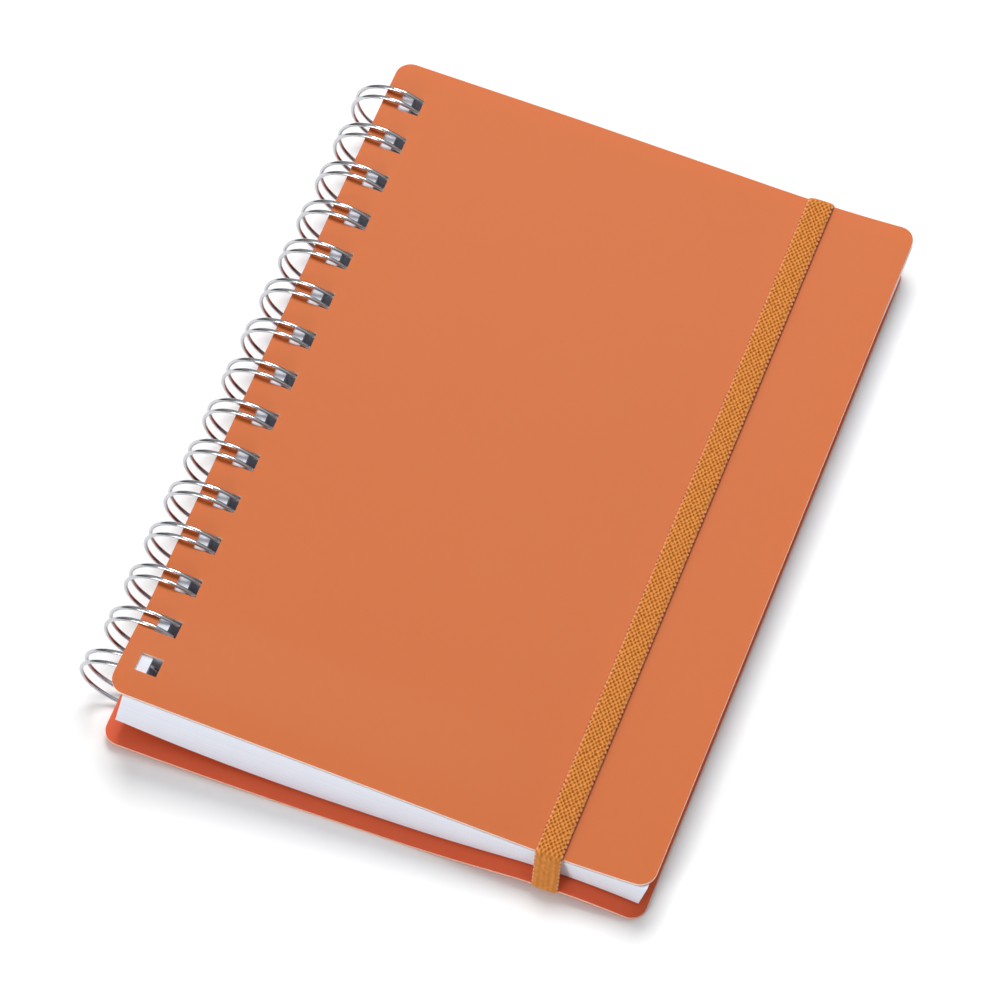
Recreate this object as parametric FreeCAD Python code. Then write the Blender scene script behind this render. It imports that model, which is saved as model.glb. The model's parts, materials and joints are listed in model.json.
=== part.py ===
"""A twin-loop bound planner, lying on its back cover.

X runs across the pages from the bound edge to the fore edge, Y runs along the bound edge,
Z is up.  Everything is laid out from the axis of the loops, where X = 0 and Z = RING_Z, and is
moved at the end so that the middle of the whole object's footprint is the origin.
"""
import os
from math import asin, atan2, cos, degrees, radians, sin, sqrt

import FreeCAD
import Part
from FreeCAD import Vector

# The binding: twin-loop wire, two loops to the inch
PITCH = 12.7
WIRE_D = 1.1
LOOP_R = 11.9
PAIR_GAP = 3.3
LINK_CLEAR = 0.2
BASE_BEND_R = 0.8
TIP_CLEAR = 0.25
ARC_STEPS = 18
TIP_STEPS = 4
BEND_STEPS = 2
FLOOR_CLEAR = 0.15

# The covers: one plastic sheet each
COVER_W = 144.5
COVER_L = 199.0
COVER_T = 0.8
CORNER_R = 4.2
EDGE_CLEAR = 0.45
EDGE_INSIDE = 2.75
HOLE_MARGIN = 3.5
HOLE_END_CLEAR = 0.4
HOLE_SIDE_CLEAR = 0.35
FRONT_SHIFT = 1.55
BACK_SHIFT = -2.85

# How the front cover lies: it slopes down to the fore edge, where it turns up a little
FRONT_SLOPE = 5.0
FLARE_RUN = 36.9
FLARE_BEND = 8.5

# How the back cover lies: it hangs on the loops, lies flat, then is pulled up by the band
HANG_DEG = 4.2
FLAT_RUN = 14.0
LIFT_RUN = 30.0
LIFT_DEG = 7.2
DROP_DEG = 12.6

# The page block: its leaves lean with the covers and fan out from the fore edge to the loops
PAGE_END_INSET = 2.0
PAGE_SHIFT = -0.75
PAGE_HOLE_START = 5.6
PAGE_HOLE_LEAN = 2.6
WIRE_CLEAR = 0.2
FORE_INSET_TOP = 0.7
FORE_INSET_BOTTOM = 2.0
TOP_GAP = 0.3
BOTTOM_GAP = 0.6
BOTTOM_GAP_SPINE = 4.8
BOTTOM_START = 2.3
BOTTOM_CLOSE = 66.0
STRIP_CLEAR = 0.17
STRIP_SWEEP_DEG = -98.0

# The elastic closing band and its two eyelet rivets
BAND_W = 7.0
BAND_T = 0.8
BAND_X = 115.8
BAND_OVER = 0.3
BAND_UNDER = 0.1
BAND_SIDE = 0.3
BAND_BEND_R = 0.6
BAND_TUCK = 14.0
RIVET_INSET = 9.0
RIVET_TUBE_D = 4.0
RIVET_BORE = 3.0
RIVET_FLANGE_D = 6.4
RIVET_FLANGE_T = 0.35
RIVET_FIT = 0.1

WIRE_R = WIRE_D / 2
LOOPS = int(COVER_L // PITCH)

# The covers' bound edges lie just inside the loops, and the base links just above the back cover
COVER_RADIUS = sqrt((LOOP_R - WIRE_R - EDGE_CLEAR) ** 2 - EDGE_INSIDE ** 2)
LINK_DROP = COVER_RADIUS - COVER_T - WIRE_R - LINK_CLEAR

# Each hole passes a pair of wires, and ends past the place where they leave the inner face
WIRE_EXIT = sqrt((LOOP_R + WIRE_R) ** 2 - (COVER_RADIUS - COVER_T) ** 2)
HOLE_LENGTH = EDGE_INSIDE + WIRE_EXIT + HOLE_END_CLEAR - HOLE_MARGIN
HOLE_WIDTH = PAIR_GAP + WIRE_D + 2 * HOLE_SIDE_CLEAR
PAGE_L = COVER_L - 2 * PAGE_END_INSET
RING_Z = LOOP_R + WIRE_R + FLOOR_CLEAR
HANG_HEIGHT = (RING_Z - COVER_RADIUS * cos(radians(HANG_DEG))
               + EDGE_INSIDE * sin(radians(HANG_DEG)))
HANG_R = HANG_HEIGHT / (1 - cos(radians(HANG_DEG)))
HANG_RUN = HANG_R * radians(HANG_DEG)
DROP_RUN = COVER_W - HANG_RUN - FLAT_RUN - LIFT_RUN
BACK_RUNS = ((HANG_RUN, HANG_DEG), (FLAT_RUN, 0.0), (LIFT_RUN, LIFT_DEG),
             (DROP_RUN, -LIFT_DEG - DROP_DEG))
FRONT_RUNS = ((COVER_W - FLARE_RUN, 0.0), (FLARE_RUN, FLARE_BEND))


def heading(deg):
    """Unit direction in the XZ plane, measured up from +X."""
    return Vector(cos(radians(deg)), 0, sin(radians(deg)))


def upward(deg):
    """Unit direction a quarter turn up from a heading."""
    return Vector(-sin(radians(deg)), 0, cos(radians(deg)))


def walk(start, deg, runs, distance):
    """Follow straight and evenly bent runs for a distance; gives the point and the heading."""
    point = start
    for length, bend in runs:
        step = min(distance, length)
        turn = bend * step / length
        chord = step
        if abs(turn) > 1e-9:
            chord = 2 * (step / radians(turn)) * sin(radians(turn) / 2)
        point = point + heading(deg + turn / 2) * chord
        deg = deg + turn
        distance = distance - step
        if distance <= 1e-9:
            break
    return point, deg


def offset_walk(start, deg, runs, distance, lift):
    """The point that stands off the followed line by a height square to it."""
    point, angle = walk(start, deg, runs, distance)
    return point + upward(angle) * lift


def sheet_profile(start, deg, runs, lower, upper):
    """Section of a sheet between two heights off the followed line."""
    stops = [0.0]
    for length, bend in runs:
        stops.append(stops[-1] + length)

    def side(lift):
        edges = []
        for (length, bend), s0, s1 in zip(runs, stops, stops[1:]):
            a = offset_walk(start, deg, runs, s0, lift)
            b = offset_walk(start, deg, runs, s1, lift)
            if bend == 0:
                edges.append(Part.LineSegment(a, b).toShape())
            else:
                m = offset_walk(start, deg, runs, (s0 + s1) / 2, lift)
                edges.append(Part.Arc(a, m, b).toShape())
        return edges, offset_walk(start, deg, runs, 0.0, lift), b

    low, low_a, low_b = side(lower)
    high, high_a, high_b = side(upper)
    ends = [Part.LineSegment(low_b, high_b).toShape(), Part.LineSegment(high_a, low_a).toShape()]
    return Part.Face(Part.Wire(Part.__sortEdges__(low + high + ends)))


def rounded_plan(x0, x1, y0, y1, radius):
    """Tall block whose plan is a rectangle with rounded corners."""
    tall = 4 * RING_Z
    block = Part.makeBox(x1 - x0, y1 - y0, tall, Vector(x0, y0, -tall / 4))
    uprights = [e for e in block.Edges if abs(e.tangentAt(e.FirstParameter).z) > 0.9]
    return block.makeFillet(radius, uprights)


def loop_y(number):
    """Place of a loop along the bound edge, counted from the near end."""
    return (number - (LOOPS - 1) / 2) * PITCH


def extrude_y(face, y0, y1):
    """Turn a section in the XZ plane into a solid between two Y places."""
    face = face.copy()
    face.translate(Vector(0, y0, 0))
    return face.extrude(Vector(0, y1 - y0, 0))


def turned(shape, deg):
    """Copy of a shape turned about the axis of the loops, nose down for a positive angle."""
    copy = shape.copy()
    copy.rotate(Vector(0, 0, RING_Z), Vector(0, 1, 0), deg)
    return copy


# Where each cover's outer face starts at the bound edge, and its direction there
FRONT_START = Vector(-EDGE_INSIDE, 0, RING_Z + COVER_RADIUS)
BACK_START = (Vector(0, 0, RING_Z) - upward(-HANG_DEG) * COVER_RADIUS
              - heading(-HANG_DEG) * EDGE_INSIDE)


# The line that the front cover tips about: the middle of its sheet, above the loops' axis
FRONT_HINGE = (Vector(0, 0, RING_Z)
               + FreeCAD.Rotation(Vector(0, 1, 0), FRONT_SLOPE).multVec(
                   Vector(0, 0, COVER_RADIUS - COVER_T / 2)))


def cover(start, deg, runs, lower, upper, shift, slope):
    """One cover sheet with rounded corners and a row of rectangular holes."""
    y0 = shift - COVER_L / 2
    sheet = extrude_y(sheet_profile(start, deg, runs, lower, upper), y0, y0 + COVER_L)
    far_point, _ = walk(start, deg, runs, COVER_W)
    sheet = sheet.common(rounded_plan(start.x, far_point.x, y0, y0 + COVER_L, CORNER_R))
    holes = []
    for number in range(LOOPS):
        hole = Part.makeBox(HOLE_LENGTH, HOLE_WIDTH, 6 * COVER_T,
                            Vector(HOLE_MARGIN, loop_y(number) - HOLE_WIDTH / 2, -3 * COVER_T))
        hole.rotate(Vector(0, 0, 0), Vector(0, 1, 0), -deg)
        hole.translate(start)
        holes.append(hole)
    sheet = sheet.cut(Part.makeCompound(holes))
    return turned(sheet.Solids[0], slope)


def back_top(distance, lift):
    """Point above the back cover's inner face."""
    return offset_walk(BACK_START, -HANG_DEG, BACK_RUNS, distance, COVER_T + lift)


def front_under(distance, lift):
    """Point under the front cover's inner face, with the cover as it lies."""
    point = offset_walk(FRONT_START, 0.0, FRONT_RUNS, distance, -COVER_T - lift)
    middle = Vector(0, 0, RING_Z)
    return FreeCAD.Rotation(Vector(0, 1, 0), FRONT_SLOPE).multVec(point - middle) + middle


def closing_gap(distance):
    """Gap under the leaves, which hang from the loops and settle on the back cover."""
    share = max(0.0, 1 - distance / BOTTOM_CLOSE) ** 2.5
    return BOTTOM_GAP + (BOTTOM_GAP_SPINE - BOTTOM_GAP) * share


def spaced(first, last, count):
    """Evenly spaced distances from first to last."""
    return [first + (last - first) * i / count for i in range(count + 1)]


def page_block():
    """The leaves as one solid.

    The upper corner at the bound edge is hollowed round the front cover's hinge line, so the
    punched strip of the cover can swing down past it.  The lowest leaf bows over the eyelets
    where they stand higher than the gap under it.
    """
    sweep = sqrt(EDGE_INSIDE ** 2 + (COVER_T / 2) ** 2) + STRIP_CLEAR
    first = EDGE_INSIDE + sqrt(sweep ** 2 - (COVER_T / 2 + TOP_GAP) ** 2)
    top = [front_under(s, TOP_GAP) for s in spaced(first, COVER_W - FORE_INSET_TOP, 12)]
    bottom = [back_top(s, closing_gap(s - BOTTOM_START))
              for s in spaced(BOTTOM_START, COVER_W - FORE_INSET_BOTTOM, 12)]
    top_line = Part.BSplineCurve()
    top_line.interpolate(top)
    bottom_line = Part.BSplineCurve()
    bottom_line.interpolate(bottom)
    hinge = FRONT_HINGE
    start = degrees(atan2(top[0].z - hinge.z, top[0].x - hinge.x))
    bow = [hinge + heading(a) * sweep for a in (start, (start + STRIP_SWEEP_DEG) / 2,
                                                STRIP_SWEEP_DEG)]
    edges = [top_line.toShape(), bottom_line.toShape(),
             Part.LineSegment(top[-1], bottom[-1]).toShape(),
             Part.Arc(*bow).toShape(),
             Part.LineSegment(bow[-1], bottom[0]).toShape()]
    y0 = PAGE_SHIFT - PAGE_L / 2
    block = extrude_y(Part.Face(Part.Wire(Part.__sortEdges__(edges))), y0, y0 + PAGE_L)
    high = RING_Z + COVER_RADIUS
    low = RING_Z - COVER_RADIUS
    far_x = LOOP_R + WIRE_R + WIRE_CLEAR
    corners = [Vector(PAGE_HOLE_START, 0, high), Vector(far_x, 0, high), Vector(far_x, 0, low),
               Vector(PAGE_HOLE_START - PAGE_HOLE_LEAN, 0, low)]
    hole = Part.Face(Part.makePolygon(corners + [corners[0]]))
    cuts = [extrude_y(hole, loop_y(n) - HOLE_WIDTH / 2, loop_y(n) + HOLE_WIDTH / 2)
            for n in range(LOOPS)]
    for y in RIVET_YS:
        cuts.append(Part.makeCylinder(RIVET_FLANGE_D / 2 + RIVET_FIT, RIVET_HIGH + RIVET_FIT,
                                      Vector(BAND_X, y, 0)))
    return block.cut(Part.makeCompound(cuts)).Solids[0]


def on_loop(deg, y):
    """Point on a loop at an angle up from +X."""
    return Vector(LOOP_R * cos(radians(deg)), y, RING_Z + LOOP_R * sin(radians(deg)))


def wire_path():
    """Centre line of the whole binding wire, as one run of short straight steps.

    Each loop leaves its base link, goes round under the back cover, up the outside, through the
    front cover and down through the leaves, turns back at its tip, and returns the same way.
    """
    base = -degrees(asin(LINK_DROP / LOOP_R)) - HANG_DEG
    bend = degrees(BASE_BEND_R / LOOP_R)
    half = PAIR_GAP / 2
    tip = degrees((half + WIRE_D + TIP_CLEAR) / LOOP_R)
    start = base - bend
    stop = base - 360 + tip

    def loop(y):
        points = [on_loop(base, y - half - BASE_BEND_R)]
        for i in range(1, BEND_STEPS):
            a = radians(90 * i / BEND_STEPS)
            points.append(on_loop(base - bend * (1 - cos(a)), y - half - BASE_BEND_R * (1 - sin(a))))
        for i in range(ARC_STEPS + 1):
            points.append(on_loop(start + (stop - start) * i / ARC_STEPS, y - half))
        for i in range(1, TIP_STEPS // 2 + 1):
            a = radians(180 * i / TIP_STEPS)
            reach = degrees(half * sin(a) / LOOP_R)
            points.append(on_loop(stop - reach, y - half * cos(a)))
        mirror = [Vector(p.x, 2 * y - p.y, p.z) for p in points[:-1]]
        return points + mirror[::-1]

    path = []
    for number in range(LOOPS):
        path = path + loop(loop_y(number))
    return path


def swept_hexagon(path, radius):
    """Solid of hexagonal section that follows a path, mitred at every joint."""
    steps = [(b - a).normalize() for a, b in zip(path, path[1:])]
    side = steps[0].cross(Vector(0, 0, 1)).normalize()
    ring = []
    for i in range(6):
        turn = FreeCAD.Rotation(steps[0], 60.0 * i + 30)
        ring.append(path[0] + turn.multVec(side) * radius)
    rings = [ring]
    for i, step in enumerate(steps):
        normal = step
        if i + 1 < len(steps):
            normal = (step + steps[i + 1]).normalize()
        target = path[i + 1]
        ring = [p + step * ((target - p).dot(normal) / step.dot(normal)) for p in rings[-1]]
        rings.append(ring)
    faces = []
    for a, b in zip(rings, rings[1:]):
        for i in range(6):
            j = (i + 1) % 6
            faces.append(Part.Face(Part.makePolygon([a[i], a[j], b[j], b[i], a[i]])))
    for end in (rings[0], rings[-1]):
        faces.append(Part.Face(Part.makePolygon(end + [end[0]])))
    shell = Part.Shell(faces)
    shell.sewShape()
    solid = Part.Solid(shell)
    if solid.Volume < 0:
        solid.reverse()
    return solid


def offset_line(points, distance):
    """Open line of (y, z) points moved square to itself, to its right-hand side."""
    moved = []
    for i, p in enumerate(points):
        before = points[i] - points[i - 1] if i else points[1] - points[0]
        after = points[i + 1] - points[i] if i + 1 < len(points) else before
        before = Vector(before).normalize()
        after = Vector(after).normalize()
        normal_a = Vector(0, before.z, -before.y)
        normal_b = Vector(0, after.z, -after.y)
        total = normal_a + normal_b
        moved.append(p + total * (2 * distance / total.dot(total)))
    return moved


def rounded_line(points, radius):
    """Edges of an open line with an arc at each inner corner."""
    edges = []
    last = points[0]
    for a, b, c in zip(points, points[1:], points[2:]):
        u = (a - b).normalize()
        v = (c - b).normalize()
        half = u.getAngle(v) / 2
        back = radius * cos(half) / sin(half)
        p = b + u * back
        q = b + v * back
        bisector = (u + v).normalize()
        m = b + bisector * (radius / sin(half) - radius)
        edges.append(Part.LineSegment(last, p).toShape())
        edges.append(Part.Arc(p, m, q).toShape())
        last = q
    edges.append(Part.LineSegment(last, points[-1]).toShape())
    return edges


FRONT_NEAR = FRONT_SHIFT - COVER_L / 2
FRONT_FAR = FRONT_SHIFT + COVER_L / 2
BACK_NEAR = BACK_SHIFT - COVER_L / 2
BACK_FAR = BACK_SHIFT + COVER_L / 2
RIVET_YS = (BACK_NEAR + RIVET_INSET, BACK_FAR - RIVET_INSET)


def height_at(place, x):
    """Height of a line along a cover where it passes an X place."""
    low, high = 0.0, COVER_W
    for _ in range(40):
        middle = (low + high) / 2
        if place(middle, 0.0).x < x:
            low = middle
        else:
            high = middle
    return place(low, 0.0).z


BAND_EDGE_XS = (BAND_X - BAND_W / 2, BAND_X, BAND_X + BAND_W / 2)
BAND_LOW = min(height_at(back_top, x) for x in BAND_EDGE_XS) - COVER_T - BAND_UNDER
BAND_HIGH = max(height_at(front_under, x) for x in BAND_EDGE_XS) + COVER_T + BAND_OVER


def elastic_band():
    """Flat band over the front cover and round both long sides, ending under the back cover."""
    rise = BAND_HIGH - BAND_LOW
    near_lean = (FRONT_NEAR - BACK_NEAR) / rise
    far_lean = (FRONT_FAR - BACK_FAR) / rise
    corners = [
        Vector(0, BACK_NEAR + BAND_TUCK, BAND_LOW),
        Vector(0, BACK_NEAR - BAND_SIDE - near_lean * (COVER_T + BAND_UNDER), BAND_LOW),
        Vector(0, FRONT_NEAR - BAND_SIDE, BAND_HIGH),
        Vector(0, FRONT_FAR + BAND_SIDE + far_lean * (COVER_T + BAND_OVER), BAND_HIGH),
        Vector(0, BACK_FAR + BAND_SIDE, BAND_LOW),
        Vector(0, BACK_FAR - BAND_TUCK, BAND_LOW)]
    outer = offset_line(corners, -BAND_T)
    edges = rounded_line(corners, BAND_BEND_R) + rounded_line(outer, BAND_BEND_R + BAND_T)
    edges.append(Part.LineSegment(corners[0], outer[0]).toShape())
    edges.append(Part.LineSegment(corners[-1], outer[-1]).toShape())
    face = Part.Face(Part.Wire(Part.__sortEdges__(edges)))
    face.translate(Vector(BAND_X - BAND_W / 2, 0, 0))
    band = face.extrude(Vector(BAND_W, 0, 0))
    for y in RIVET_YS:
        band = band.cut(Part.makeCylinder(RIVET_TUBE_D / 2 + RIVET_FIT, 4 * BAND_T,
                                          Vector(BAND_X, y, BAND_LOW - 2 * BAND_T)))
    return band.Solids[0]


RIVET_TOP = max(height_at(back_top, BAND_X + d)
                for d in spaced(-RIVET_FLANGE_D / 2, RIVET_FLANGE_D / 2, 8))
RIVET_BOTTOM = BAND_LOW - BAND_T
RIVET_HIGH = RIVET_TOP + RIVET_FLANGE_T


def eyelet(y):
    """Hollow rivet: a tube with a flange above the back cover and one under the band."""
    tube = RIVET_TUBE_D / 2
    flange = RIVET_FLANGE_D / 2
    bore = RIVET_BORE / 2
    low = RIVET_BOTTOM - RIVET_FLANGE_T
    high = RIVET_HIGH
    outline = [(bore, low), (flange, low), (flange, RIVET_BOTTOM), (tube, RIVET_BOTTOM),
               (tube, RIVET_TOP), (flange, RIVET_TOP), (flange, high), (bore, high)]
    points = [Vector(x, 0, z) for x, z in outline]
    face = Part.Face(Part.makePolygon(points + [points[0]]))
    body = face.revolve(Vector(0, 0, 0), Vector(0, 0, 1), 360)
    body.translate(Vector(BAND_X, y, 0))
    return body


front_cover = cover(FRONT_START, 0.0, FRONT_RUNS, -COVER_T, 0.0, FRONT_SHIFT, FRONT_SLOPE)
back_cover = cover(BACK_START, -HANG_DEG, BACK_RUNS, 0.0, COVER_T, BACK_SHIFT, 0.0)
for y in RIVET_YS:
    back_cover = back_cover.cut(Part.makeCylinder(RIVET_TUBE_D / 2 + RIVET_FIT, 20,
                                                  Vector(BAND_X, y, -5))).Solids[0]

nodes = {
    "front_cover": front_cover,
    "back_cover": back_cover,
    "page_block": page_block(),
    "twin_loop_wire": swept_hexagon(wire_path(), WIRE_R * 1.1),
    "elastic_band": elastic_band(),
    "elastic_rivet_tail": eyelet(RIVET_YS[0]),
    "elastic_rivet_head": eyelet(RIVET_YS[1]),
}

assert LINK_DROP + WIRE_R < COVER_RADIUS - COVER_T
assert sqrt(COVER_RADIUS ** 2 + EDGE_INSIDE ** 2) < LOOP_R - WIRE_R

whole = None
for shape in nodes.values():
    box = shape.BoundBox
    if whole is None:
        whole = FreeCAD.BoundBox(box)
    else:
        whole.add(box)
shift = Vector(-whole.Center.x, -whole.Center.y, -whole.ZMin)

os.makedirs("parts", exist_ok=True)
for name, shape in nodes.items():
    shape = shape.copy()
    shape.translate(shift)
    shape.exportStep("parts/" + name + ".step")
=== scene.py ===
"""Looks of a twin-loop bound planner that lies closed on its back cover.

Lengths are millimetres in the layout frame, whose X = 0 and Z = 0 are the axis of the loops and
whose Y = 0 is the middle of the row of loops.  to_row() turns them into the row's metres.
"""
import json
from math import radians

import bpy
import numpy as np
from mathutils import Euler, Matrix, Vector


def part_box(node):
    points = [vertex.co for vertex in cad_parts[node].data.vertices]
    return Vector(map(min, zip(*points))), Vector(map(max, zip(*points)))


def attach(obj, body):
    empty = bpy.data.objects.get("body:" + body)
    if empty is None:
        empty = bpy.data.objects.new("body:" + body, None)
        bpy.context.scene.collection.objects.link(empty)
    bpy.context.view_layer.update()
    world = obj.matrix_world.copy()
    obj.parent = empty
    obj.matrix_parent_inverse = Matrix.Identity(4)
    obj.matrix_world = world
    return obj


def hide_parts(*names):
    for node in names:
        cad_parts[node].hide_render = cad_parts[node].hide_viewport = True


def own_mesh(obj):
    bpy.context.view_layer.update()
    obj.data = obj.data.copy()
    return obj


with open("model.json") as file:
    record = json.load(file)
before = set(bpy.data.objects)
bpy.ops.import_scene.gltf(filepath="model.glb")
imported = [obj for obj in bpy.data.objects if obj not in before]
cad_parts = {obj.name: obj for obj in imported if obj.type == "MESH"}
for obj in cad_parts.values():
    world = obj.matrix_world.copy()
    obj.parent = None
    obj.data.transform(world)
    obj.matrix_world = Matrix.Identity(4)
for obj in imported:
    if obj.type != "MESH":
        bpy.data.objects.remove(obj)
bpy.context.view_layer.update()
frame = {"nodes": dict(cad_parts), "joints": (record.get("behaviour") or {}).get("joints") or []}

# --- layout -------------------------------------------------------------------------------

RING_Z = 12.6
PITCH = 12.7
LOOPS = 15
LOOP_R = 11.9
WIRE_R = 0.55
PAIR_GAP = 3.3
HANG = 4.2
SLOPE = 5.0
COVER_RADIUS = 10.547
EDGE_INSIDE = 2.75
COVER_T = 0.8
COVER_W = 144.5
COVER_L = 199.0
CORNER_R = 4.2
BASE_ANGLE = -np.degrees(np.arcsin(9.0 / LOOP_R)) - HANG
BEND_R = 0.8
TIP_CLEAR = 0.25
FRONT_RUNS = ((107.6, 0.0), (36.9, 8.5))
BACK_RUNS = ((62.3, 4.2), (14.0, 0.0), (30.0, 7.2), (38.2, -19.8))
RIM_R = 0.16

# The back cover's hinge is the loops' axis, at the middle of their row.
AXIS_X, AXIS_Y = (place * 1000 for place in frame["joints"][0]["pos_m"][:2])
FRONT_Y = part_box("front_cover")[0][1] * 1000 - AXIS_Y
BACK_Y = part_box("back_cover")[0][1] * 1000 - AXIS_Y


def to_row(x, y, z):
    """Layout millimetres to row metres: add the place of the loops' axis, divide by 1000."""
    return np.stack(np.broadcast_arrays(x + AXIS_X, y + AXIS_Y, z + RING_Z), axis=-1) / 1000


def loop_y(number):
    """Place of a loop along the bound edge, counted from the near end."""
    return (number - (LOOPS - 1) / 2) * PITCH


def ease(t):
    """Smooth step: 3 t**2 - 2 t**3, held at 0 and 1 outside."""
    t = np.clip(t, 0, 1)
    return t * t * (3 - 2 * t)


# --- mesh helpers -------------------------------------------------------------------------

def add_mesh(name, points, faces, smooth=True):
    """Object at the origin from an (n, 3) array of points and lists of corners."""
    mesh = bpy.data.meshes.new(name)
    mesh.from_pydata(points.reshape(-1, 3).tolist(), [], faces)
    mesh.polygons.foreach_set("use_smooth", np.full(len(mesh.polygons), smooth))
    mesh.update()
    obj = bpy.data.objects.new(name, mesh)
    bpy.context.scene.collection.objects.link(obj)
    return obj


def grid_faces(rows, columns, around=False):
    """Four-cornered faces between neighbouring rows; around closes each row on itself."""
    last = columns if around else columns - 1
    r, c = np.meshgrid(np.arange(rows - 1), np.arange(last), indexing="ij")
    n = (c + 1) % columns
    quad = np.stack([r * columns + c, (r + 1) * columns + c, (r + 1) * columns + n,
                     r * columns + n], axis=-1)
    return quad.reshape(-1, 4)


def slab(name, top, bottom, kept, crease=35):
    """Closed solid between an upper and a lower grid of points, without the cells not kept.

    An edge of a kept cell whose opposite isn't an edge of another kept cell is on the rim of
    the outline or of a hole, and gets a wall down to the lower grid.
    """
    rows, columns = top.shape[:2]
    count = rows * columns
    upper = grid_faces(rows, columns)[kept.ravel()]
    edges = np.concatenate([upper[:, [0, 1]], upper[:, [1, 2]], upper[:, [2, 3]],
                            upper[:, [3, 0]]])
    lone = ~np.isin(edges[:, 0] * count + edges[:, 1], edges[:, 1] * count + edges[:, 0])
    a, b = edges[lone].T
    walls = np.stack([b, a, a + count, b + count], axis=-1)
    points = np.concatenate([top.reshape(-1, 3), bottom.reshape(-1, 3)])
    faces = np.concatenate([upper, upper[:, ::-1] + count, walls])
    obj = add_mesh(name, points, faces.tolist())
    obj.data.set_sharp_from_angle(angle=radians(crease))
    return obj


def soften(obj, width):
    """Round the rims by a width in millimetres."""
    rim = obj.modifiers.new("rounded_rim", "BEVEL")
    rim.width = width / 1000
    rim.segments = 2
    rim.limit_method = "ANGLE"
    rim.angle_limit = radians(50)
    rim.harden_normals = True
    return obj


def stand_for(obj, cad_node, body):
    """The piece replaces a CAD node, which is hidden, and rides its body."""
    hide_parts(cad_node)
    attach(obj, body)
    return obj


# --- the covers ---------------------------------------------------------------------------

HOLE_START, HOLE_END, HOLE_HALF = 4.4, 10.25, 2.55
NEAREST_HOLE_IN = 0.7
BACK_REACH = 0.7
NEAR_LIFT = 2.4
FAR_DRAW = 0.55


def bent_line(s, runs, heading):
    """Place and heading at distances s along a sheet that bends evenly within each run.

    The heading is the running sum of the bends; x and z are the running sums of cos and sin of
    the heading over steps of a quarter millimetre.
    """
    stops = np.cumsum([0.0] + [length for length, bend in runs])
    turns = np.cumsum([heading] + [bend for length, bend in runs])
    fine = np.arange(0, stops[-1] + 0.25, 0.25)
    angle = np.radians(np.interp(fine, stops, turns))
    middle = (angle[1:] + angle[:-1]) / 2
    x = np.concatenate([[0], np.cumsum(0.25 * np.cos(middle))])
    z = np.concatenate([[0], np.cumsum(0.25 * np.sin(middle))])
    tail = np.minimum(s, 0)
    return (np.interp(s, fine, x) + tail * np.cos(angle[0]),
            np.interp(s, fine, z) + tail * np.sin(angle[0]), np.interp(s, fine, angle))


def near_lift(x, y):
    """How far the slipped loop lifts the cover and the top leaves at the near bound corner:
    full at the corner, gone 24 mm along the bound edge and 115 mm across."""
    return NEAR_LIFT * ease((-68 - y) / 24) * np.clip(1 - (x + 2) / 115, 0, 1)


def edge_shift(x, y):
    """How far the front cover's bound edge has crept in its holes, towards the fore edge at
    the near end and away from it at the far one: 0.0185 y**2 - 5.8 y, in thousandths."""
    return (0.0185 * y ** 2 - 5.8 * y) / 1000 * np.clip(1 - x / 60, 0, 1)


def far_draw(x, y):
    """How far the front cover's far edge is drawn in next to the loops: full at the corner,
    gone 50 mm across."""
    return -FAR_DRAW * ease((y - 40) / 55) * np.clip(1 - x / 50, 0, 1)


def cover_grid(first, y0, holes):
    """Distances s and places y of a cover's grid, and which cells are sheet.

    The s lines crowd at both ends as radius * (1 - cos); the outermost y lines are drawn in by
    radius - sqrt(radius**2 - (radius - s)**2), which rounds the corners.
    """
    turn = CORNER_R * (1 - np.cos(np.linspace(0, np.pi / 2, 9)))
    s = np.unique(np.concatenate([first + turn, COVER_W - turn, [HOLE_START, HOLE_END],
                                  np.arange(16, 138, 6.0)]).round(4))
    spare = np.concatenate([[y0, y0 + 5, y0 + COVER_L - 5, y0 + COVER_L], holes.ravel(),
                            (holes[:-1, 1] + holes[1:, 0]) / 2])
    y = np.sort(spare)
    reach = np.clip(np.minimum(s - first, COVER_W - s), 0, CORNER_R)
    draw = CORNER_R - np.sqrt(CORNER_R ** 2 - (CORNER_R - reach) ** 2)
    s_all, y_all = np.meshgrid(s, y, indexing="ij")
    y_all[:, 0] += draw
    y_all[:, -1] -= draw
    mid_s, mid_y = (s[1:] + s[:-1]) / 2, (y[1:] + y[:-1]) / 2
    in_s = (mid_s > HOLE_START) & (mid_s < HOLE_END)
    in_y = ((mid_y > holes[:, :1]) & (mid_y < holes[:, 1:])).any(axis=0)
    return s_all, y_all, ~(in_s[:, None] & in_y)


loop_places = loop_y(np.arange(LOOPS))
hole_rows = np.stack([loop_places - HOLE_HALF, loop_places + HOLE_HALF], axis=-1)
hole_rows[0] += NEAREST_HOLE_IN


def front_line(s, lift=0.0):
    """Front cover's outer face: straight, then turned up at the fore edge, all tipped down by
    SLOPE about the loops' axis; lift is measured square to it."""
    x, z, angle = bent_line(s, FRONT_RUNS, -SLOPE)
    c, d = np.cos(radians(SLOPE)), np.sin(radians(SLOPE))
    return (x - EDGE_INSIDE * c + COVER_RADIUS * d - lift * np.sin(angle),
            z + EDGE_INSIDE * d + COVER_RADIUS * c + lift * np.cos(angle))


def back_line(s, lift=0.0):
    """Back cover's outer face: it hangs from the loops, lies flat, rises, then droops."""
    x, z, angle = bent_line(s, BACK_RUNS, -HANG)
    c, d = np.cos(radians(HANG)), np.sin(radians(HANG))
    return (x - EDGE_INSIDE * c - COVER_RADIUS * d - lift * np.sin(angle),
            z + EDGE_INSIDE * d - COVER_RADIUS * c + lift * np.cos(angle))


def front_creep(x, y):
    """How far a point of the front cover has moved along x, y and z."""
    return edge_shift(x, y), far_draw(x, y), near_lift(x, y)


def back_creep(x, y):
    """The back cover lies where it was punched."""
    return 0.0, 0.0, 0.0


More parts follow.
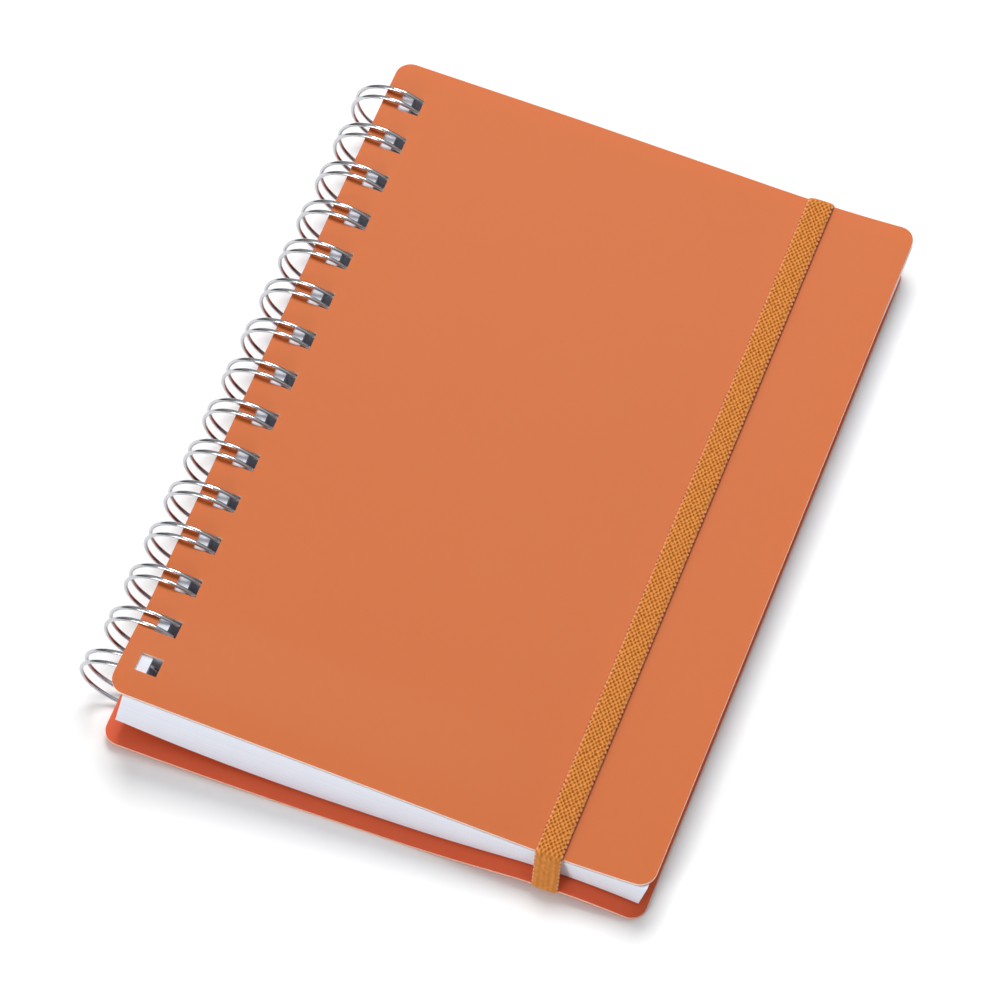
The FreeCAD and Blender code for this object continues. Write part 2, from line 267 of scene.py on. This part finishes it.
def cover_sheet(name, line, grid, low, high, creep):
    """One cover between two heights off its line, moved by a function of x and y."""
    s, y, kept = grid
    faces = []
    for lift in (high, low):
        x, z = line(s, lift)
        dx, dy, dz = creep(x, y)
        faces.append(to_row(x + dx, y + dy, z + dz))
    return soften(slab(name, *faces, kept), RIM_R)


front_sheet = cover_sheet("front_cover_sheet", front_line, cover_grid(0.0, FRONT_Y, hole_rows),
                          -COVER_T, 0.0, front_creep)
front = stand_for(front_sheet, "front_cover", "front")
back_sheet = cover_sheet("back_cover_sheet", back_line,
                         cover_grid(-BACK_REACH, BACK_Y, hole_rows), 0.0, COVER_T, back_creep)
back = stand_for(back_sheet, "back_cover", "back")

# --- the leaves ---------------------------------------------------------------------------

LEAF_NEAR, LEAF_FAR = -98.1, 96.75
LEAF_HOLE_START, LEAF_HOLE_END = 5.45, 12.65
TOP_BOUND, TOP_REACH = 2.4, 128.65
LOW_BOUND, LOW_REACH = -1.2, 126.0
UNDER_COVER = 0.05
STAND_OUT = 1.2


def leaf_block():
    """The leaves: their bound edges lean with the loops, and their fore edges fan out.

    The top runs just under the front cover, creeps and rises with it, and stands out at the far
    fore edge, where the leaves aren't squared up: STAND_OUT, eased in from x = 120 and y = 20.
    The bottom runs over the back cover at a gap of 0.6 + 4.2 (1 - x / 66)**2.5.  The value
    "leaf" is 0 on the lowest leaf and 1 on the topmost.
    """
    rest = np.linspace(0, 1, 25)[1:]
    top_x = np.concatenate([[TOP_BOUND, 3.9, LEAF_HOLE_START, LEAF_HOLE_END],
                            LEAF_HOLE_END + TOP_REACH * rest])
    low_x = np.concatenate([[LOW_BOUND, 1.2, 3.6, LEAF_HOLE_END],
                            LEAF_HOLE_END + LOW_REACH * rest])
    y = np.sort(np.concatenate([[LEAF_NEAR, LEAF_NEAR + 1.5, LEAF_FAR], hole_rows.ravel(),
                                (hole_rows[:-1, 1] + hole_rows[1:, 0]) / 2]))
    under_x, under_z = front_line(np.arange(0, COVER_W, 0.5), -COVER_T)
    over_x, over_z = back_line(np.arange(0, COVER_W, 0.5), COVER_T)
    gap = 0.6 + 4.2 * np.clip(1 - low_x / 66, 0, 1) ** 2.5
    grid_x, grid_y = np.meshgrid(top_x, y, indexing="ij")
    top_z = np.interp(top_x, under_x, under_z) - UNDER_COVER
    stand_out = STAND_OUT * ease((grid_x - 120) / 20) * ease((grid_y - 20) / 70)
    top = to_row(grid_x + edge_shift(grid_x, grid_y) + stand_out, grid_y,
                 top_z[:, None] + near_lift(grid_x, grid_y))
    low_z = np.interp(low_x, over_x, over_z) + gap
    bottom = to_row(low_x[:, None], y, low_z[:, None])
    mid_x, mid_y = (top_x[1:] + top_x[:-1]) / 2, (y[1:] + y[:-1]) / 2
    in_x = (mid_x > LEAF_HOLE_START) & (mid_x < LEAF_HOLE_END)
    in_y = ((mid_y > hole_rows[:, :1]) & (mid_y < hole_rows[:, 1:])).any(axis=0)
    block = slab("leaf_block", top, bottom, ~(in_x[:, None] & in_y))
    leaf = block.data.attributes.new("leaf", "FLOAT", "POINT")
    leaf.data.foreach_set("value", np.repeat([1.0, 0.0], top.size // 3).astype(np.float32))
    return block


leaves = stand_for(leaf_block(), "page_block", "block")

# --- the binding wire ---------------------------------------------------------------------

SLACK_BULGE = 13.0
SLACK_TOP = 11.0
SLACK_POWER = 1.8
LINK_GAP = 0.05


def unrolled_loop(centre):
    """One loop on the unrolled cylinder of the binding, as arrays of (arc length, y).

    From its base link the wire bends through a quarter circle, runs straight for most of the
    way round, turns back in a half circle at the tip, and returns the same way mirrored.
    """
    half = PAIR_GAP / 2
    full = np.radians(360) * LOOP_R
    tip = half + 2 * WIRE_R + TIP_CLEAR
    a = np.linspace(0, np.pi / 2, 7)
    bend = np.stack([BEND_R * (1 - np.cos(a)), -half - BEND_R * (1 - np.sin(a))], axis=-1)
    s = np.linspace(BEND_R, full - tip, 86)[1:]
    run = np.stack([s, np.full_like(s, -half)], axis=-1)
    b = np.linspace(0, np.pi / 2, 9)[1:]
    turn = np.stack([full - tip + half * np.sin(b), -half * np.cos(b)], axis=-1)
    there = np.concatenate([bend, run, turn])
    back = there[-2::-1] * (1, -1)
    return np.concatenate([there, back]) + (0, centre)


def round_profile(theta):
    """Circle of the loop radius, with its outward normal."""
    direction = np.stack([np.cos(theta), np.sin(theta)], axis=-1)
    return LOOP_R * direction, direction


def slack_profile(theta):
    """The nearest loop, which has slipped out of the cover's hole and bears on it from below.

    It is a little flatter on top and bulges at the bound edge.  Each quarter is
    |x/a|**n + |z/b|**n = 1, turned half way between the two covers' slopes.
    """
    turn = radians((SLOPE + HANG) / 2)
    t = theta + turn
    c, s = np.cos(t), np.sin(t)
    a = np.where(c > 0, LOOP_R, SLACK_BULGE)
    b = np.where(s > 0, SLACK_TOP, LOOP_R)
    n = np.where((c > 0) & (s > 0), SLACK_POWER, 2.0)
    x = a * np.sign(c) * np.abs(c) ** (2 / n)
    z = b * np.sign(s) * np.abs(s) ** (2 / n)
    nx = np.sign(c) * (np.abs(x) / a) ** (n - 1) / a
    nz = np.sign(s) * (np.abs(z) / b) ** (n - 1) / b
    size = np.hypot(nx, nz)
    back_turn = np.array([[np.cos(turn), -np.sin(turn)], [np.sin(turn), np.cos(turn)]])
    return (np.stack([x, z], -1) @ back_turn,
            np.stack([nx / size, nz / size], -1) @ back_turn)


def wire_tube(name, unrolled, profile, sides=12):
    """Round wire about a line drawn on the unrolled binding.

    The line's (arc length, y) goes to the point of the profile at that angle; the ring of the
    section is spanned by the profile's outward normal and by tangent x normal.
    """
    theta = radians(BASE_ANGLE) - unrolled[:, 0] / LOOP_R
    flat, normal = profile(theta)
    centre = np.stack([flat[:, 0], unrolled[:, 1], flat[:, 1]], axis=-1)
    out = np.stack([normal[:, 0], np.zeros(len(flat)), normal[:, 1]], axis=-1)
    tangent = np.gradient(centre, axis=0)
    across = np.cross(tangent, out)
    across /= np.linalg.norm(across, axis=1, keepdims=True)
    angle = np.linspace(0, 2 * np.pi, sides, endpoint=False)
    ring = (out[:, None] * np.cos(angle)[:, None] + across[:, None] * np.sin(angle)[:, None])
    points = np.concatenate([(centre[:, None] + WIRE_R * ring).reshape(-1, 3),
                             centre[[0, -1]]])
    rows = len(centre)
    i = np.arange(sides)
    first = np.stack([(i + 1) % sides, i, np.full(sides, rows * sides)], axis=-1)
    last = np.stack([i, (i + 1) % sides, np.full(sides, rows * sides + 1)], axis=-1)
    last[:, :2] += (rows - 1) * sides
    faces = grid_faces(rows, sides, around=True).tolist() + first.tolist() + last.tolist()
    return add_mesh(name, to_row(points[:, 0], points[:, 1], points[:, 2]), faces)


row_of_loops = np.concatenate([unrolled_loop(loop_y(n)) for n in range(1, LOOPS)])
slack_line = np.concatenate([unrolled_loop(loop_y(0)),
                             [[0, loop_y(1) - PAIR_GAP / 2 - BEND_R - LINK_GAP]]])
binding_wire = stand_for(wire_tube("binding_wire", row_of_loops, round_profile),
                         "twin_loop_wire", "block")
slack_loop = stand_for(wire_tube("slack_near_loop", slack_line, slack_profile),
                       "twin_loop_wire", "block")

# --- the elastic band ---------------------------------------------------------------------

BAND_X, BAND_W, BAND_T = 115.8, 7.0, 0.8
BAND_TAIL = 14
BAND_BEND_R = 0.9
CROWN_POINTS, FLAT_POINTS = 15, 5


def rounded_route(corners, radius, step):
    """Points at even steps along straight runs joined by arcs of one radius.

    Each corner is cut back by radius / tan(half its inner angle); the arc's points are
    centre + radius * (cos, sin).  The whole is then resampled by its running length.
    """
    pieces = [corners[:1]]
    for a, b, c in zip(corners, corners[1:], corners[2:]):
        u, v = (a - b) / np.linalg.norm(a - b), (c - b) / np.linalg.norm(c - b)
        half = np.arccos(np.clip(u @ v, -1, 1)) / 2
        middle = b + (u + v) / np.linalg.norm(u + v) * radius / np.sin(half)
        start, end = b + u * radius / np.tan(half), b + v * radius / np.tan(half)
        e0 = (start - middle) / radius
        e1 = end - middle - e0 * ((end - middle) @ e0)
        e1 = e1 / np.linalg.norm(e1)
        t = np.linspace(0, np.pi - 2 * half, 9)[:, None]
        pieces.append(middle + radius * (np.cos(t) * e0 + np.sin(t) * e1))
    line = np.concatenate(pieces + [corners[-1:]])
    run = np.concatenate([[0], np.cumsum(np.linalg.norm(np.diff(line, axis=0), axis=1))])
    at = np.linspace(0, run[-1], int(run[-1] / step) + 1)
    return at, np.stack([np.interp(at, run, line[:, i]) for i in (0, 1)], axis=-1)


def elastic_strap():
    """The knitted band, carried along its route round the closed covers.

    Its section has a crowned outer face, 1 - 0.6 (x / half width)**6 of the full thickness, and
    a flat inner one.  The UV map is millimetres across and along; "side" is 1 on the two side
    walls, where the knit is stretched over the covers' edges.
    """
    back_low, back_high = (np.array(c) * 1000 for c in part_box("back_cover"))
    front_low, front_high = (np.array(c) * 1000 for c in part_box("front_cover"))
    band_low, band_high = (np.array(c) * 1000 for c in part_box("elastic_band"))
    low, high = band_low[2] + BAND_T, band_high[2] - BAND_T
    corners = np.array([(back_low[1] + BAND_TAIL, low), (band_low[1] + BAND_T, low),
                        (front_low[1] - 0.3, high), (band_high[1] - BAND_T, high),
                        (back_high[1] + 0.3, low), (back_high[1] - BAND_TAIL, low)])
    s, line = rounded_route(corners, BAND_BEND_R, 0.4)
    tangent = np.gradient(line, axis=0)
    tangent /= np.linalg.norm(tangent, axis=1, keepdims=True)
    outward = np.stack([-tangent[:, 1], tangent[:, 0]], axis=-1)
    around = CROWN_POINTS + FLAT_POINTS
    x = np.concatenate([np.linspace(-1, 1, CROWN_POINTS),
                        np.linspace(0.97, -0.97, FLAT_POINTS)]) * BAND_W / 2
    crown = BAND_T * (1 - 0.6 * np.abs(x / BAND_W * 2) ** 6)
    lift = np.where(np.arange(around) < CROWN_POINTS, crown, 0)
    across = np.broadcast_to(x, (len(s), around))
    y = line[:, :1] + outward[:, :1] * lift
    z = line[:, 1:] + outward[:, 1:] * lift
    points = np.stack([across + BAND_X + AXIS_X, y, z], axis=-1).reshape(-1, 3) / 1000
    faces = grid_faces(len(s), around, around=True)
    end = len(s) * around
    caps = [list(range(around)), list(range(end - 1, end - around - 1, -1))]
    strap = add_mesh("elastic_strap", points, faces.tolist() + caps)
    side = strap.data.attributes.new("side", "FLOAT", "POINT")
    steep = np.convolve(np.abs(tangent[:, 1]) > 0.5, np.ones(5) / 5, mode="same")
    side.data.foreach_set("value", np.repeat(steep, around).astype(np.float32))
    corner = np.empty(len(strap.data.loops), np.int32)
    strap.data.loops.foreach_get("vertex_index", corner)
    along = np.broadcast_to(s[:, None], across.shape)
    place = np.stack([across, along], axis=-1).reshape(-1, 2)
    uv = strap.data.uv_layers.new(name="millimetres")
    uv.uv.foreach_set("vector", place[corner].astype(np.float32).ravel())
    return strap


elastic = stand_for(elastic_strap(), "elastic_band", "back")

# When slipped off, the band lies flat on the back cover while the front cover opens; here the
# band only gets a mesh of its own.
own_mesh(elastic)

# --- materials ----------------------------------------------------------------------------

def linear(code):
    """Hex sRGB colour to linear RGBA."""
    c = np.array([int(code[i:i + 2], 16) for i in (1, 3, 5)]) / 255
    c = np.where(c <= 0.04045, c / 12.92, ((c + 0.055) / 1.055) ** 2.4)
    return (*c, 1.0)


def material(name, **inputs):
    """A node material with its principled shader's inputs set; gives material, tree, shader."""
    mat = bpy.data.materials.new(name)
    mat.use_nodes = True
    shader = mat.node_tree.nodes["Principled BSDF"]
    for key, value in inputs.items():
        shader.inputs[key.replace("_", " ")].default_value = value
    return mat, mat.node_tree, shader


def node(tree, kind, links=(), values=(), **settings):
    """Add a node, set its properties and its inputs' values, and link other sockets to it."""
    made = tree.nodes.new(kind)
    for key, value in settings.items():
        setattr(made, key, value)
    for key, value in dict(values).items():
        made.inputs[key].default_value = value
    for key, socket in dict(links).items():
        tree.links.new(socket, made.inputs[key])
    return made


def satin_polypropylene(name, body, cloudy, rim):
    """Extruded polypropylene sheet with a satin face on both sides: a soft wide gloss, a faint
    mottling of its orange, a fine sand-blasted grain of about 0.4 mm, and cut edges and rims
    painted paler than the faces: partly the paler cut plastic, partly a painted highlight
    where the edges catch the light."""
    mat, tree, shader = material(name, Roughness=0.5, IOR=1.49, Specular_IOR_Level=0.2,
                                 Subsurface_Weight=0.2, Subsurface_Scale=0.002,
                                 Subsurface_Radius=(1.0, 0.25, 0.1))
    place = node(tree, "ShaderNodeTexCoord")
    cloud = node(tree, "ShaderNodeTexNoise", {"Vector": place.outputs["Object"]},
                 {"Scale": 9.0, "Detail": 2.0})
    face = node(tree, "ShaderNodeMix", {"Factor": cloud.outputs["Fac"]},
                {"A": linear(body), "B": linear(cloudy)}, data_type="RGBA")
    # Faces that turn away from level, on the cut edges and rounded rims, go to the pale rim
    # colour: partly the paler cut plastic, partly painted highlight.
    upright = node(tree, "ShaderNodeSeparateXYZ", {"Vector": place.outputs["Normal"]})
    size = node(tree, "ShaderNodeMath", {0: upright.outputs["Z"]}, operation="ABSOLUTE")
    cut = node(tree, "ShaderNodeMapRange", {"Value": size.outputs["Value"]},
               {"From Min": 0.85, "From Max": 0.35})
    whole = node(tree, "ShaderNodeMix", {"Factor": cut.outputs["Result"],
                                         "A": face.outputs["Result"]},
                 {"B": linear(rim)}, data_type="RGBA")
    tree.links.new(whole.outputs["Result"], shader.inputs["Base Color"])
    grain = node(tree, "ShaderNodeTexNoise", {"Vector": place.outputs["Object"]},
                 {"Scale": 2500.0, "Detail": 2.0})
    bump = node(tree, "ShaderNodeBump", {"Height": grain.outputs["Fac"]},
                {"Strength": 0.06, "Distance": 0.0001})
    tree.links.new(bump.outputs["Normal"], shader.inputs["Normal"])
    return mat


def bright_coated_wire():
    """Steel wire with a bright silver coating: mirror-like, softened by faint drawing marks
    about a millimetre long."""
    mat, tree, shader = material("bright_coated_steel_wire", Metallic=1.0)
    shader.inputs["Base Color"].default_value = linear("#C6C8CC")
    place = node(tree, "ShaderNodeTexCoord")
    marks = node(tree, "ShaderNodeTexNoise", {"Vector": place.outputs["Object"]},
                 {"Scale": 900.0, "Detail": 2.0})
    rough = node(tree, "ShaderNodeMapRange", {"Value": marks.outputs["Fac"]},
                 {"To Min": 0.1, "To Max": 0.24})
    tree.links.new(rough.outputs["Result"], shader.inputs["Roughness"])
    return mat


def wood_free_paper():
    """A stack of uncoated white leaves with cut edges: matt and cool white.  One leaf is a tenth
    of a millimetre, too fine to show, so the lines are drawn as sheaves of a few leaves."""
    mat, tree, shader = material("wood_free_paper", Roughness=0.9)
    shader.inputs["Specular IOR Level"].default_value = 0.2
    leaf = node(tree, "ShaderNodeAttribute", attribute_name="leaf")
    sheaves = node(tree, "ShaderNodeTexNoise", {"W": leaf.outputs["Fac"]},
                   {"Scale": 55.0, "Detail": 3.0}, noise_dimensions="1D")
    lines = node(tree, "ShaderNodeMapRange", {"Value": sheaves.outputs["Fac"]},
                 {"From Min": 0.42, "From Max": 0.7, "To Max": 0.7})
    edge = node(tree, "ShaderNodeMix", {"Factor": lines.outputs["Result"]},
                {"A": linear("#E9ECF5"), "B": linear("#CACFDD")}, data_type="RGBA")
    tree.links.new(edge.outputs["Result"], shader.inputs["Base Color"])
    bump = node(tree, "ShaderNodeBump", {"Height": sheaves.outputs["Fac"]},
                {"Strength": 0.3, "Distance": 0.0002})
    tree.links.new(bump.outputs["Normal"], shader.inputs["Normal"])
    return mat


def knitted_elastic():
    """Polyester knitted over rubber threads: matt amber with a net of sunken stitches 1.5 mm
    apart along and 1.2 mm across, in staggered rows pulled a little out of line, and paler
    picot beads 1.3 mm apart along both edges.  The sunken stitches are painted a darker
    amber: painted shade in their pits.  Round the covers' edges the net is stretched
    into ribs.  The net is cos(2 pi v / 1.5) * cos(2 pi u / 1.2), in millimetres of the UV
    map after noise has moved it by up to 0.9 mm."""
    mat, tree, shader = material("knitted_elastic", Roughness=0.85)
    shader.inputs["Specular IOR Level"].default_value = 0.25
    strap = node(tree, "ShaderNodeUVMap", uv_map="millimetres")
    place = node(tree, "ShaderNodeSeparateXYZ", {"Vector": strap.outputs["UV"]})
    loose = node(tree, "ShaderNodeTexNoise", {"Vector": strap.outputs["UV"]},
                 {"Scale": 0.8, "Detail": 2.0})
    pulled = node(tree, "ShaderNodeVectorMath",
                  {0: loose.outputs["Color"], 2: strap.outputs["UV"]},
                  {1: (0.8, 0.9, 0)}, operation="MULTIPLY_ADD")
    split = node(tree, "ShaderNodeSeparateXYZ", {"Vector": pulled.outputs["Vector"]})

    def wave(socket, period):
        turn = node(tree, "ShaderNodeMath", {0: socket}, {1: 2 * np.pi / period},
                    operation="MULTIPLY")
        return node(tree, "ShaderNodeMath", {0: turn.outputs["Value"]},
                    operation="COSINE").outputs["Value"]

    rows, columns = wave(split.outputs["Y"], 1.5), wave(split.outputs["X"], 1.2)
    net = node(tree, "ShaderNodeMath", {0: rows, 1: columns}, operation="MULTIPLY")
    side = node(tree, "ShaderNodeAttribute", attribute_name="side")
    ribs = node(tree, "ShaderNodeMath", {0: wave(split.outputs["X"], 1.4)}, {1: 0.12, 2: -0.1},
                operation="MULTIPLY_ADD")
    knit = node(tree, "ShaderNodeMix", {"Factor": side.outputs["Fac"],
                                        "A": net.outputs["Value"], "B": ribs.outputs["Value"]})
    uneven = node(tree, "ShaderNodeMath", {0: loose.outputs["Fac"], 2: knit.outputs["Result"]},
                  {1: 1.0}, operation="MULTIPLY_ADD")
    hole = node(tree, "ShaderNodeMapRange", {"Value": uneven.outputs["Value"]},
                {"From Min": 0.05, "From Max": 1.3})
    # The pits of the net get the darker amber: painted shade.
    yarn_and_pit_shade = node(tree, "ShaderNodeMix", {"Factor": hole.outputs["Result"]},
                {"A": linear("#DF8F43"), "B": linear("#934A05")}, data_type="RGBA")
    off = node(tree, "ShaderNodeMath", {0: place.outputs["X"]}, operation="ABSOLUTE")
    border = node(tree, "ShaderNodeMapRange", {"Value": off.outputs["Value"]},
                  {"From Min": 3.0, "From Max": 3.25})
    beads = node(tree, "ShaderNodeMapRange", {"Value": wave(place.outputs["Y"], 1.3)},
                 {"From Min": -0.6, "From Max": 0.4})
    picot = node(tree, "ShaderNodeMath", {0: border.outputs["Result"],
                                          1: beads.outputs["Result"]}, operation="MULTIPLY")
    whole = node(tree, "ShaderNodeMix", {"Factor": picot.outputs["Value"],
                                         "A": yarn_and_pit_shade.outputs["Result"]},
                 {"B": linear("#F0AC86")}, data_type="RGBA")
    tree.links.new(whole.outputs["Result"], shader.inputs["Base Color"])
    bump = node(tree, "ShaderNodeBump", {"Height": hole.outputs["Result"]},
                {"Strength": 0.7, "Distance": 0.0002}, invert=True)
    tree.links.new(bump.outputs["Normal"], shader.inputs["Normal"])
    return mat


def nickelled_eyelet():
    """Nickel plated brass eyelet, with the faint scuffs that the setting tool leaves."""
    mat, tree, shader = material("nickelled_eyelet", Metallic=1.0)
    shader.inputs["Base Color"].default_value = linear("#C9C8C4")
    place = node(tree, "ShaderNodeTexCoord")
    scuffs = node(tree, "ShaderNodeTexNoise", {"Vector": place.outputs["Object"]},
                  {"Scale": 1500.0, "Detail": 1.0})
    rough = node(tree, "ShaderNodeMapRange", {"Value": scuffs.outputs["Fac"]},
                 {"To Min": 0.2, "To Max": 0.42})
    tree.links.new(rough.outputs["Result"], shader.inputs["Roughness"])
    return mat


def dress(obj, mat):
    """Give every slot of an object one material."""
    if not obj.data.materials:
        obj.data.materials.append(mat)
    for i in range(len(obj.data.materials)):
        obj.data.materials[i] = mat


# Each cover's third colour is its rim colour: partly the paler cut plastic, partly painted
# highlight.
dress(front, satin_polypropylene("satin_polypropylene_front", "#C8672D", "#CB6B32", "#F7D9CC"))
# The back cover is the same plastic as the front; its redder, brighter colour is painted shade,
# the red cast the plastic takes in the shade under the leaves and the front cover.
dress(back, satin_polypropylene("satin_polypropylene_back_painted_shade", "#E8643D", "#EA6841", "#EBB49A"))
dress(leaves, wood_free_paper())
wire_finish = bright_coated_wire()
dress(binding_wire, wire_finish)
dress(slack_loop, wire_finish)
dress(elastic, knitted_elastic())
eyelet_finish = nickelled_eyelet()
dress(frame["nodes"]["elastic_rivet_head"], eyelet_finish)
dress(frame["nodes"]["elastic_rivet_tail"], eyelet_finish)

# --- floor, light and camera --------------------------------------------------------------

floor_points = np.array([[-4, -4, 0], [4, -4, 0], [4, 4, 0], [-4, 4, 0]], float)
floor = add_mesh("floor", floor_points, [[0, 1, 2, 3]], smooth=False)
floor_mat, floor_tree, floor_shader = material("matt_white_studio_floor", Roughness=0.9)
floor_shader.inputs["Base Color"].default_value = linear("#FFFFFF")
floor_shader.inputs["Specular IOR Level"].default_value = 0.0
dress(floor, floor_mat)

# The room is bright overhead and greyer towards the horizon, which gives the wire its dark
# edges.
world = bpy.data.worlds.new("studio")
bpy.context.scene.world = world
world.use_nodes = True
room = world.node_tree
split_direction = node(room, "ShaderNodeSeparateXYZ",
                       {"Vector": node(room, "ShaderNodeTexCoord").outputs["Generated"]})
fade = node(room, "ShaderNodeValToRGB", {"Fac": split_direction.outputs["Z"]})
fade.color_ramp.elements[0].color = (0.05, 0.05, 0.055, 1)
fade.color_ramp.elements[1].color = (1.0, 1.0, 1.0, 1)
fade.color_ramp.elements[1].position = 0.75
fade.color_ramp.elements.new(0.35).color = (0.3, 0.3, 0.31, 1)
room.links.new(fade.outputs["Color"], room.nodes["Background"].inputs["Color"])
room.nodes["Background"].inputs["Strength"].default_value = 0.5


def soft_box(name, place, size, power):
    """Square area light that points at the object's foot."""
    data = bpy.data.lights.new(name, "AREA")
    data.size = size
    data.energy = power
    lamp = bpy.data.objects.new(name, data)
    lamp.location = place
    lamp.rotation_euler = Vector(place).to_track_quat("Z", "Y").to_euler()
    bpy.context.scene.collection.objects.link(lamp)
    return lamp


soft_box("key", (-0.13, 0.84, 1.5), 0.75, 23.0)
soft_box("near_fill", (-0.5, -1.15, 0.4), 0.5, 6.5)

LENS_MM = 169.53192

lens = bpy.data.cameras.new("camera")
lens.lens = LENS_MM
eye = bpy.data.objects.new("camera", lens)
eye.location = (0.267184, -0.522834, 1.063365)
eye.rotation_euler = Euler(np.radians((28.63366, 3.20474, 21.33846)), "XYZ")
bpy.context.scene.collection.objects.link(eye)
bpy.context.scene.camera = eye
bpy.context.scene.view_settings.view_transform = "Standard"
